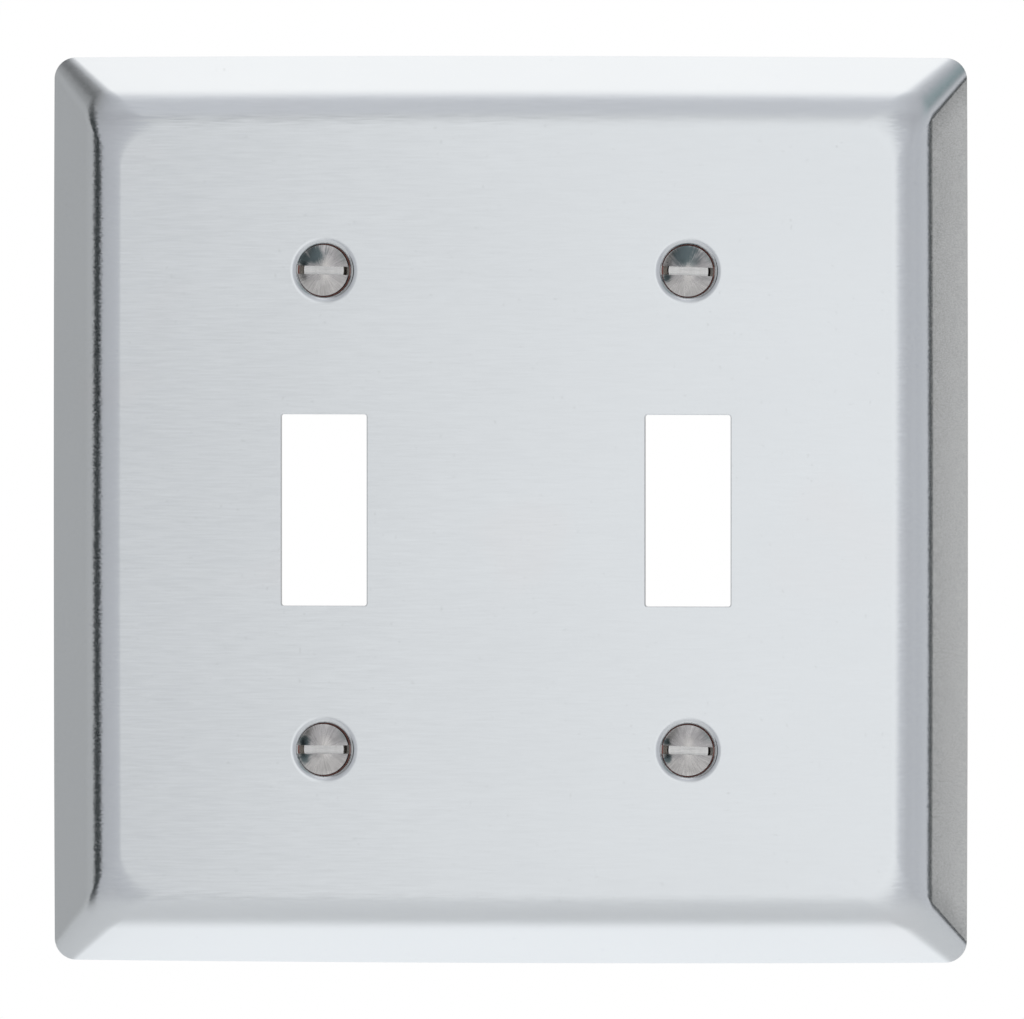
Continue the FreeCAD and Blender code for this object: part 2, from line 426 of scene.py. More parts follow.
@dataclass(frozen=True)
class BrushedStainless:
    """Sheet brushed across the plate, then handled a little."""

    tint: Colour = (0.735, 0.765, 0.79, 1.0)
    smudge_tint: Colour = (0.74, 0.755, 0.775, 1.0)
    roughness: float = 0.2
    anisotropy: float = 0.7
    scratch_depth: float = 0.0009 * MM
    wave_depth: float = 0.005 * MM
    sway: float = 0.03
    bend_sway: float = 0.09
    # Painted shade: warm grey-beige for the sheet deep in the screw cups, under the heads.
    cup_shade_tint: Colour = (0.40, 0.385, 0.36, 1.0)
    # Painted shade: dark red-brown, non-metallic, for the gap round each screw head's edge.
    cup_gap_shade_tint: Colour = (0.30, 0.075, 0.04, 1.0)

    def material(self) -> bpy.types.Material:
        """Return the finish as a material."""
        s = Shader("brushed stainless")
        place = s.add("ShaderNodeTexCoord").outputs["Object"]
        streaks = s.noise(place, (260, 5200, 5200), 3.0)
        fine = s.noise(place, (700, 14000, 14000), 2.0, offset=(3.1, 0.7, 1.9))
        clouds = s.noise(place, (22, 40, 40), 3.0)
        smudge = s.remap(s.noise(place, (45, 60, 60), 1.0, offset=(1.3, 0.0, 0.4)),
                         0.62, 0.75, 0.0, 0.6)
        specks = s.remap(s.noise(place, (1900, 1900, 1900), 0.0), 0.8, 0.86, 0.0, 1.0)
        lines = s.math("ADD", s.math("MULTIPLY", streaks, 0.6), s.math("MULTIPLY", fine, 0.4))
        shade = s.math("MULTIPLY", s.remap(lines, 0.3, 0.7, 0.985, 1.012),
                       s.remap(clouds, 0.3, 0.7, 0.99, 1.01))
        worn = s.math("SUBTRACT", shade, s.math("MULTIPLY", specks, 0.05))
        sheet = s.tone(s.mix(smudge, self.tint, self.smudge_tint), worn)
        sunk = s.attribute("sunk", "Fac")
        # Painted shade: deeper than 0.42 mm below the face the cup is darkened towards a warm
        # grey-beige, and a band about 0.36 to 0.7 mm deep, round the screw head's edge, is painted
        # dark red-brown and non-metallic.
        painted_cup_shade = s.remap(sunk, 0.42 * MM, 0.75 * MM, 0.0, 1.0)
        ring = s.math("MULTIPLY", s.remap(sunk, 0.36 * MM, 0.44 * MM, 0.0, 0.9),
                      s.remap(sunk, 0.5 * MM, 0.7 * MM, 1.0, 0.0))
        darkened = s.mix(ring, s.mix(painted_cup_shade, sheet, self.cup_shade_tint), self.cup_gap_shade_tint)
        s.set(Base_Color=darkened, Metallic=s.math("SUBTRACT", 1.0, ring),
              Anisotropic=self.anisotropy, Anisotropic_Rotation=0.25,
              Roughness=s.remap(lines, 0.3, 0.7, self.roughness - 0.03, self.roughness + 0.03),
              Tangent=s.add("ShaderNodeTangent", direction_type="UV_MAP",
                            uv_map="UVMap").outputs[0])
        waves = s.math("MULTIPLY", s.noise(place, (90, 420, 420), 1.0), self.wave_depth / MM)
        height = s.math("ADD", waves, s.math("MULTIPLY", lines, self.scratch_depth / MM))
        fretted = s.noise(place, (300, 5600, 5600), 1.0, offset=(0.3, 5.0, 2.0))
        amount = s.math("ADD", self.sway, s.math("MULTIPLY", s.attribute("stretched", "Fac"),
                                                 self.bend_sway))
        sway = s.math("MULTIPLY", s.math("SUBTRACT", fretted, 0.5), amount)
        plain = s.add("ShaderNodeNewGeometry").outputs["Normal"]
        swayed = s.vector("NORMALIZE", s.vector("ADD", plain, s.combine(sway, 0.0, 0.0)))
        s.set(Normal=s.bump(height, MM, swayed))
        return s.material


@dataclass(frozen=True)
class ShearedSteel:
    """The sheet's cut edges: duller, warmer, with marks of the punch through the thickness."""

    tint: Colour = (0.52, 0.515, 0.51, 1.0)
    roughness: float = 0.38
    mark_depth: float = 0.004 * MM

    def material(self) -> bpy.types.Material:
        """Return the finish as a material."""
        s = Shader("sheared stainless edge")
        place = s.add("ShaderNodeTexCoord").outputs["Object"]
        marks = s.noise(place, (5200, 900, 5200), 3.0)
        s.set(Base_Color=s.tone(self.tint, s.remap(marks, 0.3, 0.7, 0.88, 1.08)), Metallic=1.0,
              Roughness=s.remap(marks, 0.3, 0.7, self.roughness - 0.08, self.roughness + 0.1),
              Normal=s.bump(marks, self.mark_depth))
        return s.material


@dataclass(frozen=True)
class TurnedSteel:
    """A screw's plated steel: turning rings, fine scratches, dark blue-grey patches near the head's
    rim, and painted shade under the head's edge.
    """

    name: str
    patches: tuple[tuple[float, float, float], ...] = ()
    tint: Colour = (0.60, 0.585, 0.575, 1.0)
    # Dark blue-grey for the patches near the head's rim.
    patch_tint: Colour = (0.10, 0.145, 0.155, 1.0)
    # Painted shade for the gap between the head's underside and the cup.
    head_gap_shade_tint: Colour = (0.28, 0.07, 0.035, 1.0)
    roughness: float = 0.24
    ring_depth: float = 0.0028 * MM
    seed: float = 0.0

    def material(self, head_radius: float) -> bpy.types.Material:
        """Return the finish as a material.

        Args:
            head_radius: radius of the head that it covers.

        Returns:
            The material.
        """
        s = Shader(self.name)
        place = s.attribute("lathe")
        x, y, z = s.split(place)
        away = s.math("SQRT", s.math("ADD", s.math("MULTIPLY", x, x), s.math("MULTIPLY", y, y)))
        angle = s.math("ARCTAN2", y, x)
        polar = s.combine(away, s.math("MULTIPLY", angle, MM), self.seed)
        rings = s.noise(polar, (9000, 500, 1), 2.0)
        spokes = s.noise(polar, (500, 16000, 1), 2.0, offset=(0.4, 2.0, 0.0))
        blotches = s.noise(place, (900, 900, 900), 4.0, offset=(self.seed, 0.2, 0.0))
        # Dark blue-grey patches with ragged edges, at the listed angles and distances from the axis.
        darkened: Feed = 0.0
        for toward, reach, spread in self.patches:
            centre = (reach * head_radius * math.cos(math.radians(toward)),
                      reach * head_radius * math.sin(math.radians(toward)), 0.0)
            gap = s.vector("MULTIPLY", s.vector("SUBTRACT", place, centre), (1, 1, 0))
            ragged = s.math("ADD", s.math("DIVIDE", s.length(gap), spread * head_radius),
                            s.math("ADD", s.math("MULTIPLY", blotches, 0.7),
                                   s.math("MULTIPLY", spokes, 0.7)))
            darkened = s.math("MAXIMUM", darkened, s.remap(ragged, 1.05, 1.75, 0.9, 0.0))
        unpatched = s.tone(self.tint, s.math("MULTIPLY", s.remap(blotches, 0.3, 0.7, 0.9, 1.06),
                                         s.remap(spokes, 0.3, 0.7, 0.86, 1.1)))
        # Painted shade: the head's underside, from just below its widest edge to about 1 mm down, is
        # painted dark red-brown and non-metallic, in the gap to the cup.
        below = s.math("MULTIPLY", s.remap(z, -0.4 * MM, -0.02 * MM, 0.85, 0.0),
                       s.remap(z, -1.1 * MM, -0.6 * MM, 0.0, 1.0))
        s.set(Base_Color=s.mix(below, s.mix(darkened, unpatched, self.patch_tint), self.head_gap_shade_tint),
              Metallic=s.math("SUBTRACT", 1.0, below),
              Roughness=s.remap(blotches, 0.3, 0.7, self.roughness - 0.06, self.roughness + 0.08),
              Normal=s.bump(s.math("ADD", rings, s.math("MULTIPLY", spokes, 0.8)),
                            self.ring_depth))
        return s.material


@dataclass(frozen=True)
class MilledSlot:
    """The saw-cut slot: bright, with cutter lines along it."""

    tint: Colour = (0.74, 0.74, 0.735, 1.0)
    roughness: float = 0.3
    line_depth: float = 0.001 * MM

    def material(self) -> bpy.types.Material:
        """Return the finish as a material."""
        s = Shader("milled slot")
        place = s.attribute("lathe")
        lines = s.noise(place, (350, 9000, 3000), 2.0)
        bands = s.noise(place, (1500, 60, 60), 2.0)
        s.set(Base_Color=s.tone(self.tint, s.math("MULTIPLY", s.remap(lines, 0.3, 0.7, 0.9, 1.06),
                                                  s.remap(bands, 0.3, 0.7, 0.95, 1.04))),
              Metallic=1.0,
              Roughness=s.remap(lines, 0.3, 0.7, self.roughness - 0.05, self.roughness + 0.1),
              Normal=s.bump(lines, self.line_depth))
        return s.material


# --------------------------------------------------------------------------- shared pieces


def add_object(name: str, data: bpy.types.ID) -> bpy.types.Object:
    """Put an object in the scene."""
    thing = bpy.data.objects.new(name, data)
    bpy.context.scene.collection.objects.link(thing)
    return thing


def drawing(name: str, points: list[Vector], numbers: dict[str, list[float]],
            vectors: dict[str, list[Vector]] | None = None) -> bpy.types.Object:
    """Make an object of loose points for a tree to read.

    Args:
        name: the object's name.
        points: the points.
        numbers: number attributes, one value a point.
        vectors: vector attributes, one value a point.

    Returns:
        The object, linked to the scene.
    """
    mesh = bpy.data.meshes.new(name)
    mesh.from_pydata([tuple(p) for p in points], [], [])
    for key, values in numbers.items():
        mesh.attributes.new(key, "FLOAT", "POINT").data.foreach_set("value", values)
    for key, arrows in (vectors or {}).items():
        flat = [c for arrow in arrows for c in arrow]
        mesh.attributes.new(key, "FLOAT_VECTOR", "POINT").data.foreach_set("vector", flat)
    return add_object(name, mesh)


def grow(sketch: bpy.types.Object, tree: bpy.types.NodeTree, name: str,
         values: dict[str, object]) -> bpy.types.Object:
    """Run a tree on a drawing and keep its result as a plain mesh.

    Args:
        sketch: the drawing, which is removed afterwards.
        tree: the tree to run.
        name: name of the finished piece.
        values: the tree's named inputs.

    Returns:
        The finished piece at the origin, unturned and unscaled.
    """
    modifier = sketch.modifiers.new(tree.name, "NODES")
    modifier.node_group = tree
    for item in tree.interface.items_tree:
        if item.item_type == "SOCKET" and item.in_out == "INPUT" and item.name in values:
            modifier[item.identifier] = values[item.name]
    graph = bpy.context.evaluated_depsgraph_get()
    mesh = bpy.data.meshes.new_from_object(sketch.evaluated_get(graph), depsgraph=graph,
                                           preserve_all_data_layers=True)
    mesh.name = name
    keep_used_finishes(mesh)
    sketch.modifiers.remove(modifier)
    bpy.data.objects.remove(sketch)
    return add_object(name, mesh)


def keep_used_finishes(mesh: bpy.types.Mesh) -> None:
    """Drop the material slots that no face uses."""
    numbers = [face.material_index for face in mesh.polygons]
    used = sorted(set(numbers))
    kept = [mesh.materials[i] for i in used]
    mesh.materials.clear()
    for finish in kept:
        mesh.materials.append(finish)
    mesh.polygons.foreach_set("material_index", [used.index(i) for i in numbers])


def eased(start: float, end: float, steps: int) -> list[float]:
    """Return steps from start to end that get closer together towards the end."""
    return [end + (start - end) * (1 - i / steps) ** BEND_EASE for i in range(steps + 1)]


# --------------------------------------------------------------------------- plate


@dataclass(frozen=True)
class PlateOutline:
    """The plate's plan: four slightly crowned sides and four round corners."""

    half_width: float
    half_height: float
    side_bow: float = 0.13 * MM
    end_bow: float = 0.25 * MM
    corner_steps: int = 28
    side_steps: int = 14

    def stations(self, inset: float, corner: float) -> list[Vector]:
        """Walk anticlockwise round the plan.

        Args:
            inset: how far inside the rim.
            corner: corner radius there.

        Returns:
            Points, as many whatever the inset.
        """
        half_w, half_h = self.half_width - inset, self.half_height - inset
        side_r = (half_h ** 2 + self.side_bow ** 2) / (2 * self.side_bow)
        end_r = (half_w ** 2 + self.end_bow ** 2) / (2 * self.end_bow)
        side_c, end_c = half_w - side_r, half_h - end_r
        cx, cy = self._corner_centre(side_c, side_r - corner, end_c, end_r - corner)
        low = math.atan2(cy, cx - side_c)
        high = math.atan2(cy - end_c, cx)
        quarter = self._arc(side_c, 0, side_r, 0, low, self.side_steps)
        quarter += self._arc(cx, cy, corner, low, high, self.corner_steps)
        quarter += self._arc(0, end_c, end_r, high, math.pi / 2, self.side_steps)
        top = quarter + [Vector((0, half_h, 0))] + [Vector((-p.x, p.y, 0)) for p in quarter[:0:-1]]
        return top + [-p for p in top]

    @staticmethod
    def _arc(x: float, y: float, radius: float, start: float, end: float,
             steps: int) -> list[Vector]:
        """Return an arc's points, without its last one."""
        angles = [start + (end - start) * i / steps for i in range(steps)]
        return [Vector((x + radius * math.cos(a), y + radius * math.sin(a), 0)) for a in angles]

    @staticmethod
    def _corner_centre(side_c: float, side_reach: float, end_c: float,
                       end_reach: float) -> Plan:
        """Return where a corner's circle touches both crowned sides."""
        apart = math.hypot(side_c, end_c)
        along = (side_reach ** 2 - end_reach ** 2 + apart ** 2) / (2 * apart)
        across = math.sqrt(side_reach ** 2 - along ** 2)
        ux, uy = -side_c / apart, end_c / apart
        return side_c + along * ux - across * uy, along * uy + across * ux


@dataclass
class WallPlate:
    """The pressed plate with its bevel, toggle openings and countersunk cups."""

    half_width: float
    half_height: float
    depth: float
    toggles: list[Plan]
    screws: list[Plan]
    hole_radius: float
    sheet: float = 0.8 * MM
    rim_land: float = 0.4 * MM
    bevel: float = math.radians(40)
    bend_inside: float = 7.2 * MM
    rim_corner: float = 2.75 * MM
    face_corner: float = 8.0 * MM
    bend_steps: int = 30
    turn_steps: int = 96
    corner_steps: int = 8
    roll_steps: int = 6
    lip_steps: int = 20
    lip_softness: float = 1.35
    toggle_width: float = 10.8 * MM
    toggle_height: float = 24.1 * MM
    toggle_corner: float = 0.3 * MM
    toggle_roll: float = 0.12 * MM
    half_sink: float = math.radians(41)
    dimple_radius: float = 4.15 * MM
    lip_inside: float = 0.2 * MM
    finish: BrushedStainless = BrushedStainless()
    cut_finish: ShearedSteel = ShearedSteel()

    def build(self) -> bpy.types.Object:
        """Make the plate's mesh and dress it.

        Returns:
            The finished plate.
        """
        sketch = self._drawing()
        piece = grow(sketch, self._tree(), "wall_plate", {
            "Depth": self.depth, "Sheet": self.sheet, "Rim Land": self.rim_land,
            "Bevel": self.bevel, "Run": self.run, "Bend Inside": self.bend_inside,
            "Bend Steps": self.bend_steps, "Toggle Roll": self.toggle_roll,
            "Turn Steps": self.turn_steps,
            "Face Finish": self.finish.material(), "Cut Finish": self.cut_finish.material()})
        log.info("%s: %d faces", piece.name, len(piece.data.polygons))
        return piece

    @property
    def bend_outside(self) -> float:
        """Radius of the bend on the front."""
        return self.bend_inside + self.sheet

    @property
    def flat_corner(self) -> float:
        """Corner radius of the flat face, inside the bend."""
        return self.face_corner - self.bend_outside * math.tan(self.bevel / 2)

    @property
    def run(self) -> float:
        """How far inside the rim the flat face starts."""
        return ((self.depth - self.rim_land) / math.tan(self.bevel)
                + self.bend_outside * math.tan(self.bevel / 2))

    def _opening(self) -> list[tuple[Vector, Vector]]:
        """Return a toggle opening's stations, clockwise, facing into the opening."""
        half_w = self.toggle_width / 2 - self.toggle_corner
        half_h = self.toggle_height / 2 - self.toggle_corner
        out = []
        for quarter, (sx, sy) in enumerate([(1, 1), (-1, 1), (-1, -1), (1, -1)]):
            for i in range(self.corner_steps + 1):
                angle = math.pi / 2 * (quarter + i / self.corner_steps)
                facing = Vector((math.cos(angle), math.sin(angle), 0))
                centre = Vector((sx * half_w, sy * half_h, 0))
                out.append((centre + self.toggle_corner * facing, -facing))
        return out[::-1]

    def _dimple(self) -> list[Vector]:
        """Return the cup's section from its front edge to the hole and back behind."""
        turn = math.pi / 2 - self.half_sink

        def lip(radius: float, angles: list[float]) -> list[Vector]:
            floor = self.depth - self.sheet - self.lip_inside
            return [Vector((self.dimple_radius - radius * math.sin(a), 0,
                            floor + radius * math.cos(a))) for a in angles]

        def soft_lip(end: Vector) -> list[Vector]:
            angles = [turn * ((i + 0.5) / self.lip_steps) ** self.lip_softness
                      for i in range(self.lip_steps)]
            stride = (self.depth - end.z) / sum(math.sin(a) for a in angles)
            points = [end]
            for a in angles[::-1]:
                points.append(points[-1] + stride * Vector((math.cos(a), 0, math.sin(a))))
            return points[::-1]

        def foot(last: Vector) -> Vector:
            fall = (last.x - self.hole_radius) / math.tan(self.half_sink)
            return Vector((self.hole_radius, 0, last.z - fall))

        front = soft_lip(lip(self.lip_inside + self.sheet, [turn])[0])
        rear = lip(self.lip_inside, eased(turn, 0, 8))
        return front + [foot(front[-1]), foot(rear[0])] + rear

    def _drawing(self) -> bpy.types.Object:
        """Return the loose points that the tree reads."""
        points: list[Vector] = []
        parts: list[float] = []
        spans: list[Vector] = []

        def add(part: Part, place: Vector, span: Vector = Vector()) -> None:
            points.append(place)
            parts.append(float(part))
            spans.append(span)

        plan = PlateOutline(self.half_width, self.half_height)
        ring = [(flat, rim - flat) for rim, flat in
                zip(plan.stations(0, self.rim_corner), plan.stations(self.run, self.flat_corner))]
        for station in ring:
            add(Part.FRONT_SKIN, *station)
        for station in ring[::-1]:
            add(Part.REAR_SKIN, *station)
        for edge, facing in self._opening():
            add(Part.TOGGLE_EDGE, edge - self.toggle_roll * facing, self.toggle_roll * facing)
        for place in self._dimple():
            add(Part.DIMPLE, place)
        for x, y in self.toggles:
            add(Part.TOGGLE_CENTRE, Vector((x, y, 0)))
        for x, y in self.screws:
            add(Part.SCREW_CENTRE, Vector((x, y, 0)))
        numbers = {"part": parts, "threaded": [0.0] * len(points)}
        return drawing("plate drawing", points, numbers, {"span": spans})

    def _tree(self) -> bpy.types.NodeTree:
        """Return the tree that presses the plate out of its drawing."""
        t = ShapeTree("pressed plate", {
            "Depth": "Float", "Sheet": "Float", "Rim Land": "Float", "Bevel": "Float",
            "Run": "Float", "Bend Inside": "Float", "Bend Steps": "Int", "Toggle Roll": "Float",
            "Turn Steps": "Int", "Face Finish": "Material", "Cut Finish": "Material"})
        (sketch, depth, sheet, land, bevel, run, bend, steps, roll, turn_steps, face,
         cut) = list(t.source)[:12]
        rolled, turned = rolled_tree(), turned_tree()

        def part(which: Part) -> Socket:
            same = t.add("FunctionNodeCompare", {0: t.named("part"), 1: float(which),
                                                 "Epsilon": 0.1}, operation="EQUAL").outputs[0]
            return t.geometry("GeometryNodeSeparateGeometry", sketch, {"Selection": same},
                              domain="POINT")

        def repeat(geometry: Socket, places: Part) -> Socket:
            copies = t.geometry("GeometryNodeInstanceOnPoints", part(places),
                                {"Instance": geometry})
            return t.geometry("GeometryNodeRealizeInstances", copies)

        behind = t.math("SUBTRACT", depth, sheet)
        outside = t.math("ADD", bend, sheet)
        front = t.call(rolled, part(Part.FRONT_SKIN), {
            "Foot Height": 0.0, "Land Height": land, "Face Height": depth, "Bevel": bevel,
            "Run": run, "Bend Radius": outside, "Thickness": 0.0, "Bend Steps": steps})
        rear = t.call(rolled, part(Part.REAR_SKIN), {
            "Foot Height": 0.0, "Land Height": 0.0, "Face Height": depth, "Bevel": bevel,
            "Run": run, "Bend Radius": outside, "Thickness": sheet, "Bend Steps": steps})
        lip = t.math("SUBTRACT", depth, roll)
        edge = t.call(rolled, part(Part.TOGGLE_EDGE), {
            "Foot Height": behind, "Land Height": lip, "Face Height": depth,
            "Bevel": math.pi / 2, "Run": roll, "Bend Radius": roll, "Thickness": 0.0,
            "Bend Steps": self.roll_steps})
        cup = t.call(turned, part(Part.DIMPLE), {"Steps": turn_steps})
        level = t.split(t.position())[2]
        cup = t.store(cup, "sunk", t.math("MAXIMUM", 0.0, t.math("SUBTRACT", depth, level)))
        walls = t.weld(t.join([front, rear, repeat(edge, Part.TOGGLE_CENTRE),
                               repeat(cup, Part.SCREW_CENTRE)]))
        walls = t.geometry("GeometryNodeSetShadeSmooth", walls, {"Shade Smooth": True})
        whole = t.weld(t.join([walls, self._flat(t, walls, depth, False),
                               self._flat(t, walls, behind, True)]))
        x, y, z = t.split(t.position())
        lean = t.math("MULTIPLY", z, 0.05)
        spread = t.combine(t.math("ADD", x, lean), t.math("ADD", y, lean), 0.0)
        mapped = t.store(whole, "UVMap", t.scale(spread, 10.0), "FLOAT2", "CORNER")
        return t.dress(t.crisp(mapped), face, "sheared", cut)

    @staticmethod
    def _flat(t: ShapeTree, walls: Socket, height: Feed,
              flipped: bool) -> Socket:
        """Fill the flat sheet between the open loops at one height.

        Args:
            t: the tree.
            walls: everything round the flat.
            height: height of the flat from the wall.
            flipped: whether it faces the wall.

        Returns:
            The flat's mesh.
        """
        lone = t.add("FunctionNodeCompare",
                     {2: t.add("GeometryNodeInputMeshEdgeNeighbors").outputs[0], 3: 1},
                     data_type="INT", operation="EQUAL").outputs[0]
        level = t.math("LESS_THAN", t.math("ABSOLUTE", t.math(
            "SUBTRACT", t.split(t.position())[2], height)), 5 * WELD)
        both = t.add("FunctionNodeBooleanMath", {0: lone, 1: level}, operation="AND").outputs[0]
        loops = t.geometry("GeometryNodeMeshToCurve", walls, {"Selection": both})
        sheet = t.geometry("GeometryNodeFillCurve", loops)
        lifted = t.geometry("GeometryNodeSetPosition", sheet,
                            {"Offset": t.combine(0.0, 0.0, height)})
        lifted = t.geometry("GeometryNodeFlipFaces", lifted) if flipped else lifted
        return t.geometry("GeometryNodeSetShadeSmooth", lifted, {"Shade Smooth": False})


# --------------------------------------------------------------------------- screws


@dataclass
class OvalHeadScrew:
    """A 6-32 oval-head screw with a saw-cut slot."""

    name: str
    place: Vector
    tilt: float
    settle: Plan
    finish: TurnedSteel
    length: float = 12.7 * MM
    head_radius: float = 3.2 * MM
    head_edge: float = 0.1 * MM
    head_oval: float = 0.85 * MM
    edge_break: float = 0.05 * MM
    half_sink: float = math.radians(41)
    thread_radius: float = 1.7525 * MM
    pitch: float = 25.4 / 32 * MM
    neck_length: float = 0.7 * MM
    tip_chamfer: float = 0.2 * MM
    slot_width: float = 1.06 * MM
    slot_depth: float = 1.75 * MM
    turn_steps: int = 96
    crown_steps: int = 24

    @property
    def thread_height(self) -> float:
        """Depth of the thread."""
        return 0.5413 * self.pitch

    @property
    def neck_radius(self) -> float:
        """Radius of the plain neck."""
        return self.thread_radius - 0.6 * self.thread_height

    @property
    def thread_top(self) -> float:
        """Height of the thread's upper end, the head's widest edge being 0."""
        return -(self.head_radius - self.neck_radius) / math.tan(self.half_sink) - self.neck_length

    @property
    def end_radius(self) -> float:
        """Radius at the thread's two ends, where its chamfers start."""
        return self.thread_radius - self.thread_height - self.tip_chamfer

    def build(self, tree: bpy.types.NodeTree, slot: bpy.types.Material) -> bpy.types.Object:
        """Make the screw's mesh and dress it.

        Args:
            tree: the screw tree.
            slot: finish of the slot.

        Returns:
            The finished screw.
        """
        profile = self._profile()
        sketch = drawing("screw profile", [Vector((r, 0, z)) for r, z, _ in profile],
                         {"threaded": [w for _, _, w in profile]})
        shift = self.place + Vector((self.settle[0], self.settle[1], 0))
        piece = grow(sketch, tree, self.name, {
            "Steps": self.turn_steps, "Pitch": self.pitch, "Thread Foot": -self.length,
            "Thread Top": self.thread_top, "End Radius": self.end_radius,
            "Slot Width": self.slot_width, "Slot Length": 3 * self.head_radius,
            "Slot Floor": self.head_edge + self.head_oval - self.slot_depth,
            "Tilt": -math.radians(self.tilt), "Place": shift,
            "Head Finish": self.finish.material(self.head_radius), "Slot Finish": slot})
        log.info("%s: %d faces", piece.name, len(piece.data.polygons))
        return piece

    def _profile(self) -> list[tuple[float, float, float]]:
        """Return distance, height and threaded weight from the tip's centre to the crown."""
        root = self.thread_radius - self.thread_height
        flank = self.thread_height * math.tan(math.radians(30))
        rows = [(0.0, -self.length, 0.0), (self.end_radius, -self.length, 0.0)]
        crest = self.pitch / 16
        turns = math.ceil((self.thread_top + self.length) / self.pitch) + 2
        for turn in range(turns):
            middle = -self.length + (turn - 1) * self.pitch
            rows += [(self.thread_radius, middle - crest, 1.0),
                     (self.thread_radius, middle + crest, 1.0),
                     (root, middle + crest + flank, 1.0),
                     (root, middle + self.pitch - crest - flank, 1.0)]
        rows.append((root, self.thread_top, 1.0))
        rows = [r for r in rows if r[1] <= self.thread_top]
        rows += [(self.end_radius, self.thread_top, 0.0), (self.neck_radius, self.thread_top, 0.0),
                 (self.neck_radius, self.thread_top + self.neck_length, 0.0),
                 (self.head_radius, 0.0, 0.0)]
        return rows + self._crown()

    def _crown(self) -> list[tuple[float, float, float]]:
        """Return the head's edge, softened, and its oval top up to the centre."""
        cap = (self.head_radius ** 2 + self.head_oval ** 2) / (2 * self.head_oval)
        top = self.head_edge + self.head_oval
        rim = math.asin((self.head_radius - self.edge_break) / cap)
        rows = [(self.head_radius, self.head_edge - self.edge_break / 2, 0.0)]
        for i in range(self.crown_steps + 1):
            angle = rim * (1 - i / self.crown_steps)
            rows.append((cap * math.sin(angle), top - cap * (1 - math.cos(angle)), 0.0))
        return rows


def screw_tree() -> bpy.types.NodeTree:
    """Return the tree that turns a screw, cuts its slot and stands it in its place."""
    t = ShapeTree("slotted screw", {
        "Steps": "Int", "Pitch": "Float", "Thread Foot": "Float", "Thread Top": "Float",
        "End Radius": "Float", "Slot Width": "Float", "Slot Length": "Float",
        "Slot Floor": "Float", "Tilt": "Float", "Place": "Vector",
        "Head Finish": "Material", "Slot Finish": "Material"})
    (profile, steps, pitch, foot, top, end_radius, width, length, floor, tilt, place,
     head_finish, slot_finish) = list(t.source)[:13]
    turned = t.call(turned_tree(), profile, {
        "Steps": steps, "Pitch": pitch, "Thread Foot": foot, "Thread Top": top,
        "End Radius": end_radius})
    saw = t.add("GeometryNodeMeshCube", {"Size": t.combine(length, width, length)}).outputs[0]
    half = t.math("MULTIPLY", length, 0.5)
    saw = t.geometry("GeometryNodeTransform", saw,
                     {"Translation": t.combine(0.0, 0.0, t.math("ADD", floor, half))})
    cut = t.add("GeometryNodeMeshBoolean", {"Mesh 2": saw}, operation="DIFFERENCE", solver="EXACT")
    t.feed(cut.inputs["Mesh 1"], turned)
    local = t.store(t.crisp(cut.outputs["Mesh"]), "lathe", t.position(), "FLOAT_VECTOR")
    _, across, height = t.split(t.position())
    in_width = t.math("LESS_THAN", t.math("ABSOLUTE", across),
                      t.math("ADD", t.math("MULTIPLY", width, 0.5), WELD))
    above = t.math("GREATER_THAN", height, t.math("SUBTRACT", floor, WELD))
    milled = t.store(local, "milled", t.math("MULTIPLY", in_width, above), "BOOLEAN", "FACE")
    tilted = t.geometry("GeometryNodeTransform", milled,
                        {"Rotation": t.combine(0.0, 0.0, tilt), "Translation": place})
    return t.dress(tilted, head_finish, "milled", slot_finish)


# --------------------------------------------------------------------------- studio


class Tint(Enum):
    """Colour casts of the light in the studio."""

    NEUTRAL = (1.0, 1.0, 1.0)
    LILAC = (0.985, 0.99, 1.03)
    TEAL = (0.8, 1.1, 1.12)
    WARM = (1.03, 1.0, 0.97)


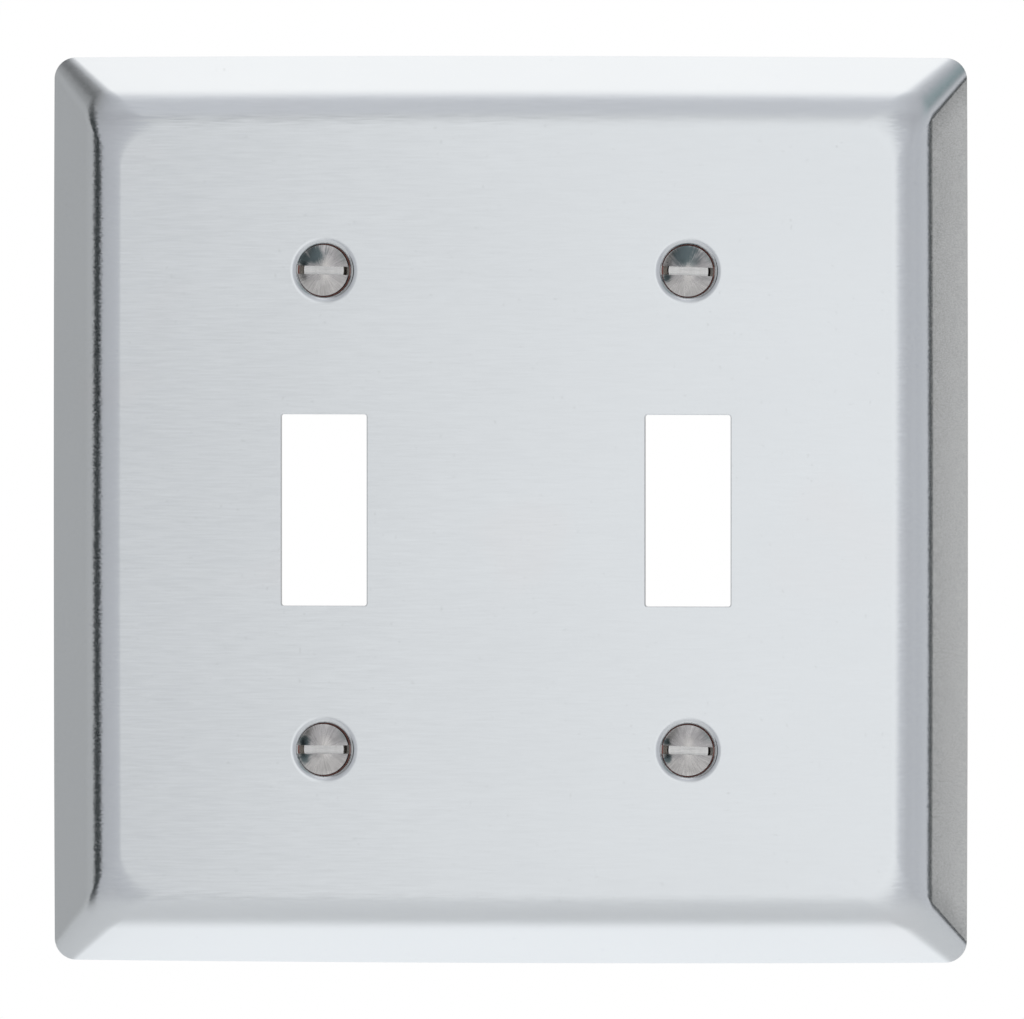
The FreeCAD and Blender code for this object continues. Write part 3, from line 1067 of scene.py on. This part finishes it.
@dataclass
class Studio:
    """Pale floor, soft surroundings, a front card and the camera."""

    centre: Vector
    azimuth: float = 6.0
    elevation: float = 1.2
    distance: float = 4.5
    frame_width: float = 129.02 * MM
    aim: Plan = (0.2 * MM, 0.0)
    floor_drop: float = 0.31
    floor_radius: float = 0.9
    card_distance: float = 0.8
    card_half_width: float = 0.7
    card_half_height: float = 0.42
    softbox_size: Plan = (1.6, 1.2)
    softbox_power: float = 1.4

    def build(self) -> None:
        """Set up everything that is not part of the object."""
        self._floor()
        self._surroundings()
        self._card()
        self._overhead()
        self._camera()
        bpy.context.scene.view_settings.view_transform = "Standard"

    def _floor(self) -> None:
        """Lay the pale floor, which glows brighter round its middle under the plate: a painted pool
        of light.
        """
        steps = 96
        ring = [(self.floor_radius * math.cos(math.tau * i / steps),
                 self.floor_radius * math.sin(math.tau * i / steps), -self.floor_drop)
                for i in range(steps)]
        mesh = bpy.data.meshes.new("floor")
        mesh.from_pydata(ring, [], [tuple(range(steps))])
        s = Shader("pale floor with painted light pool")
        place = s.add("ShaderNodeTexCoord").outputs["Object"]
        # Painted light pool: the floor glows at strength 0.56 within 8 cm of the middle under the
        # plate, falling to 0.12 beyond 20 cm.
        s.set(Base_Color=s.tone((0.86, 0.87, 0.88, 1.0),
                                s.remap(s.noise(place, (3, 3, 3)), 0.3, 0.7, 0.985, 1.01)),
              Roughness=0.6, Emission_Color=(1.0, 1.0, 1.0, 1.0),
              Emission_Strength=s.remap(s.length(s.vector("MULTIPLY", place, (1, 1, 0))),
                                        0.08, 0.2, 0.56, 0.12))
        mesh.materials.append(s.material)
        floor = add_object("floor", mesh)

    def _surroundings(self) -> None:
        """Light the room all round, with two dark gaps at the sides that soften higher up."""
        world = bpy.data.worlds.new("soft studio")
        world.use_nodes = True
        bpy.context.scene.world = world
        m = NodeMaker(world.node_tree)
        x, y, z = m.split(m.add("ShaderNodeTexCoord").outputs["Generated"])
        bearing = m.math("ARCTAN2", x, m.math("MULTIPLY", y, -1.0))
        heading = m.math("ADD", 0.5, m.math("DIVIDE", bearing, math.tau))
        level = self._ramp(m, heading, [
            (-180, 0.75, Tint.NEUTRAL), (-110, 0.5, Tint.NEUTRAL), (-80, 0.46, Tint.NEUTRAL),
            (-61.5, 0.53, Tint.NEUTRAL), (-57.5, 0.02, Tint.TEAL), (-47, 0.015, Tint.TEAL),
            (-42, 0.56, Tint.LILAC), (-10, 0.8, Tint.LILAC), (5, 0.8, Tint.LILAC),
            (40, 0.58, Tint.LILAC), (56, 0.64, Tint.LILAC), (61.5, 0.74, Tint.LILAC),
            (64.9, 0.02, Tint.TEAL), (71.4, 0.015, Tint.TEAL), (74.4, 0.72, Tint.WARM),
            (90, 0.72, Tint.WARM), (120, 0.6, Tint.NEUTRAL), (180, 0.75, Tint.NEUTRAL)], 360.0)
        raised = self._ramp(m, heading, [
            (-180, 0.75, Tint.NEUTRAL), (-110, 0.5, Tint.NEUTRAL), (-80, 0.47, Tint.NEUTRAL),
            (-57.5, 0.46, Tint.NEUTRAL), (-53.5, 0.13, Tint.NEUTRAL), (-50.5, 0.13, Tint.NEUTRAL),
            (-45, 0.38, Tint.NEUTRAL), (-34, 0.56, Tint.LILAC), (-10, 0.8, Tint.LILAC),
            (5, 0.8, Tint.LILAC), (36, 0.6, Tint.LILAC), (48, 0.34, Tint.TEAL),
            (54, 0.2, Tint.TEAL), (60, 0.5, Tint.WARM), (75, 0.6, Tint.WARM),
            (90, 0.62, Tint.WARM), (120, 0.6, Tint.NEUTRAL), (180, 0.75, Tint.NEUTRAL)], 360.0)
        lift = m.math("ABSOLUTE", m.math("ARCSINE", z))
        share = self._ease(m, lift, 14, 26, 0.0, 1.0)
        around = m.vector("ADD", m.scale(level, m.math("SUBTRACT", 1.0, share)),
                          m.scale(raised, share))
        dim = self._ease(m, lift, 18, 32, 1.0, 0.86)
        steep = self._ease(m, lift, 60, 71, 0.0, 1.0)
        radiance = m.add("ShaderNodeMix", data_type="RGBA")
        colours = [s for s in radiance.inputs if s.type == "RGBA"]
        m.feed(radiance.inputs["Factor"], steep)
        m.feed(colours[0], m.scale(around, dim))
        m.feed(colours[1], (1.02, 1.0, 0.98, 1.0))
        lit = next(s for s in radiance.outputs if s.type == "RGBA")
        seen = m.add("ShaderNodeLightPath").outputs["Is Camera Ray"]
        sky = world.node_tree.nodes["Background"]
        m.feed(sky.inputs["Color"], m.vector("ADD", m.scale(lit, m.math("SUBTRACT", 1.0, seen)),
                                             m.combine(seen, seen, seen)))

    @staticmethod
    def _ease(m: NodeMaker, angle: Feed, low: float, high: float, at_low: float,
              at_high: float) -> Socket:
        """Ease between two values over a range of degrees."""
        return m.remap(angle, math.radians(low), math.radians(high), at_low, at_high)

    @staticmethod
    def _ramp(m: NodeMaker, value: Feed, stops: list[tuple[float, float, "Tint"]],
              span: float) -> Socket:
        """Look a colour up between stops.

        Args:
            m: the tree.
            value: from 0 to 1 over the whole span.
            stops: position about the middle of the span, brightness and tint.
            span: width of the whole scale.

        Returns:
            The colour.
        """
        node = m.add("ShaderNodeValToRGB", {0: value})
        ramp = node.color_ramp
        while len(ramp.elements) < len(stops):
            ramp.elements.new(0.5)
        for element, (where, bright, tint) in zip(ramp.elements, stops):
            element.position = 0.5 + where / span
            element.color = tuple(bright * c for c in tint.value) + (1.0,)
        return node.outputs[0]

    def _card(self) -> None:
        """Stand a tall graded card before the plate, unseen by the camera."""
        half, tall, y = self.card_half_width, self.card_half_height, -self.card_distance
        corners = [(-half, y, -tall), (half, y, -tall), (half, y, tall), (-half, y, tall)]
        mesh = bpy.data.meshes.new("front card")
        mesh.from_pydata(corners, [], [(3, 2, 1, 0)])
        material = bpy.data.materials.new("graded card")
        material.use_nodes = True
        m = NodeMaker(material.node_tree)
        material.node_tree.nodes.remove(material.node_tree.nodes["Principled BSDF"])
        x, _, z = m.split(m.add("ShaderNodeTexCoord").outputs["Object"])
        bright = self._ramp(m, m.math("ADD", 0.5, m.math("DIVIDE", x, 2 * half)), [
            (-0.7, 0.55, Tint.LILAC), (-0.35, 0.58, Tint.LILAC), (-0.19, 0.62, Tint.LILAC),
            (-0.14, 0.78, Tint.NEUTRAL), (-0.09, 0.97, Tint.NEUTRAL), (0.0, 1.05, Tint.NEUTRAL),
            (0.07, 1.03, Tint.NEUTRAL), (0.2, 0.7, Tint.LILAC), (0.4, 0.58, Tint.LILAC),
            (0.7, 0.62, Tint.LILAC)], 2 * half)
        fall = m.remap(m.math("ABSOLUTE", z), 0.16, tall, 1.0, 0.72)
        glow = m.add("ShaderNodeEmission", {"Color": m.scale(bright, fall)})
        m.feed(material.node_tree.nodes["Material Output"].inputs["Surface"], glow.outputs[0])
        mesh.materials.append(material)
        card = add_object("front card", mesh)
        card.visible_camera = False

    def _overhead(self) -> None:
        """Hang one soft light above the plate."""
        data = bpy.data.lights.new("overhead softbox", "AREA")
        data.shape = "RECTANGLE"
        data.size, data.size_y = self.softbox_size
        data.energy = self.softbox_power
        light = add_object("overhead softbox", data)
        light.location = (0.0, -0.35, 1.4)
        light.rotation_euler = (math.radians(-14), 0.0, 0.0)

    def _camera(self) -> None:
        """Aim a long lens a little from the right and above."""
        data = bpy.data.cameras.new("camera")
        data.lens = data.sensor_width * self.distance / self.frame_width
        data.clip_start, data.clip_end = 0.1, 100.0
        camera = add_object("camera", data)
        a, e = math.radians(self.azimuth), math.radians(self.elevation)
        back = Vector((math.sin(a) * math.cos(e), -math.cos(a) * math.cos(e), math.sin(e)))
        target = self.centre + Vector((self.aim[0], 0, self.aim[1]))
        camera.location = target + self.distance * back
        camera.rotation_euler = (-back).to_track_quat("-Z", "Y").to_euler()
        bpy.context.scene.camera = camera


# --------------------------------------------------------------------------- assembly


def plan_of(node: str) -> Plan:
    """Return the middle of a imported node, seen from the front."""
    low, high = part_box(node)
    middle = (low + high) / 2
    return middle.x, middle.z


def mount(name: str) -> dict[str, object]:
    """Return one of the record's mounts."""
    return next(m for m in frame["record"]["mounts"] if m["name"] == name)


def settle_in(piece: bpy.types.Object, body: str, node: str) -> None:
    """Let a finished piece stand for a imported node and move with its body."""
    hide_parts(node)
    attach(piece, body)
    log.info("%s stands for %s and moves with %s", piece.name, node, body)


def build_plate() -> None:
    """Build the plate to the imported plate's size."""
    low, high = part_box("plate")
    toggles = [(mount(n)["pos_m"][0], mount(n)["pos_m"][2]) for n in ("toggle_left", "toggle_right")]
    screws = [plan_of("screw_" + corner) for corner in CORNERS]
    studs = mount("screw_studs")["dims"]
    plate = WallPlate((high.x - low.x) / 2, (high.z - low.z) / 2, -low.y,
                      toggles, screws, studs["stud_r_mm"] * MM + HOLE_CLEARANCE)
    settle_in(plate.build(), "cover", "plate")


def build_screws() -> None:
    """Build the four screws in their places."""
    tree = screw_tree()
    slot = MilledSlot().material()
    for corner, (tilt, settle, patches) in CORNERS.items():
        node = "screw_" + corner
        x, y = plan_of(node)
        tip = -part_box(node)[1].y
        screw = OvalHeadScrew("oval_head_" + node, Vector((x, y, 0)), tilt,
                              (settle[0] * MM, settle[1] * MM),
                              TurnedSteel(corner.replace("_", " ") + " screw steel", patches,
                                          seed=x * 90 + y * 40))
        screw.place.z = tip + screw.length
        settle_in(screw.build(tree, slot), node, node)


CORNERS = {
    "top_left": (1.5, (-0.13, 0.02), ((115, 0.72, 0.55), (150, 0.85, 0.4))),
    "top_right": (2.0, (-0.04, -0.02), ((100, 0.7, 0.75), (200, 0.85, 0.25))),
    "bottom_left": (0.0, (-0.14, 0.0), ((155, 0.8, 0.32), (205, 0.78, 0.34))),
    "bottom_right": (2.0, (-0.04, 0.0), ((205, 0.85, 0.25), (160, 0.9, 0.2))),
}


def main() -> None:
    """Build the plate, its screws and the studio."""
    logging.basicConfig(level=logging.INFO, format="%(message)s")
    build_plate()
    build_screws()
    Studio(Vector((0, 0, 0))).build()


if __name__ == "__main__":
    main()
